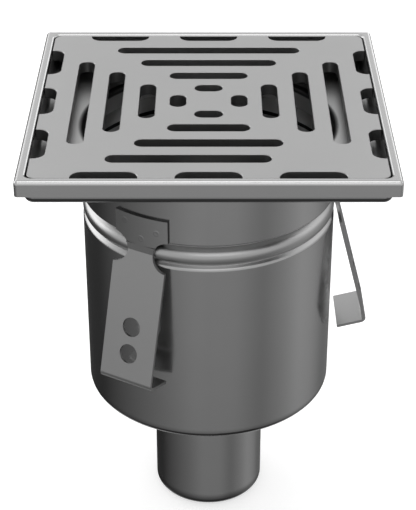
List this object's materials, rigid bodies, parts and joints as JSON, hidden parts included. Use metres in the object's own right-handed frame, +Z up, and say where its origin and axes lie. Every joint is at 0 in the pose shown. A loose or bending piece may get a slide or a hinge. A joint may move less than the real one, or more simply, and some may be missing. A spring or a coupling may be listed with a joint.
{
  "type": "gully trap",
  "caption": "Steel floor gully: slotted square grating in a pressed frame, round body with a lift-out foul-air trap, bent anchor lugs and a vertical outlet spigot.",
  "frame": {"origin": "centre of the outlet spigot's lower end, under the centre of the frame", "axes": "+Z up along the outlet's axis to the floor level, -Y the front as pictured, +X to the right"},
  "size_m": [0.15, 0.15, 0.2],
  "materials": {
    "frame_steel": "satin stainless steel, pickled",
    "grating_steel": "blasted stainless steel plate",
    "body_steel": "satin stainless steel, drawn",
    "lug_steel": "mill finish stainless strip",
    "trap_steel": "satin stainless steel",
    "seal_rubber": "black nitrile rubber"
  },
  "bodies": {
    "root": {"frame": "frame_steel", "grating": "grating_steel", "grating_studs": "grating_steel", "gully_neck": "body_steel", "gully_body": "body_steel", "outlet_spigot": "body_steel", "lug_right": "lug_steel", "lug_rear": "lug_steel", "lug_front_left": "lug_steel", "trap_funnel": "trap_steel", "trap_dip_tube": "trap_steel", "trap_cup": "trap_steel", "trap_web_1": "trap_steel", "trap_web_2": "trap_steel", "trap_web_3": "trap_steel", "trap_handle": "trap_steel", "trap_seal": "seal_rubber"}
  },
  "joints": []
}
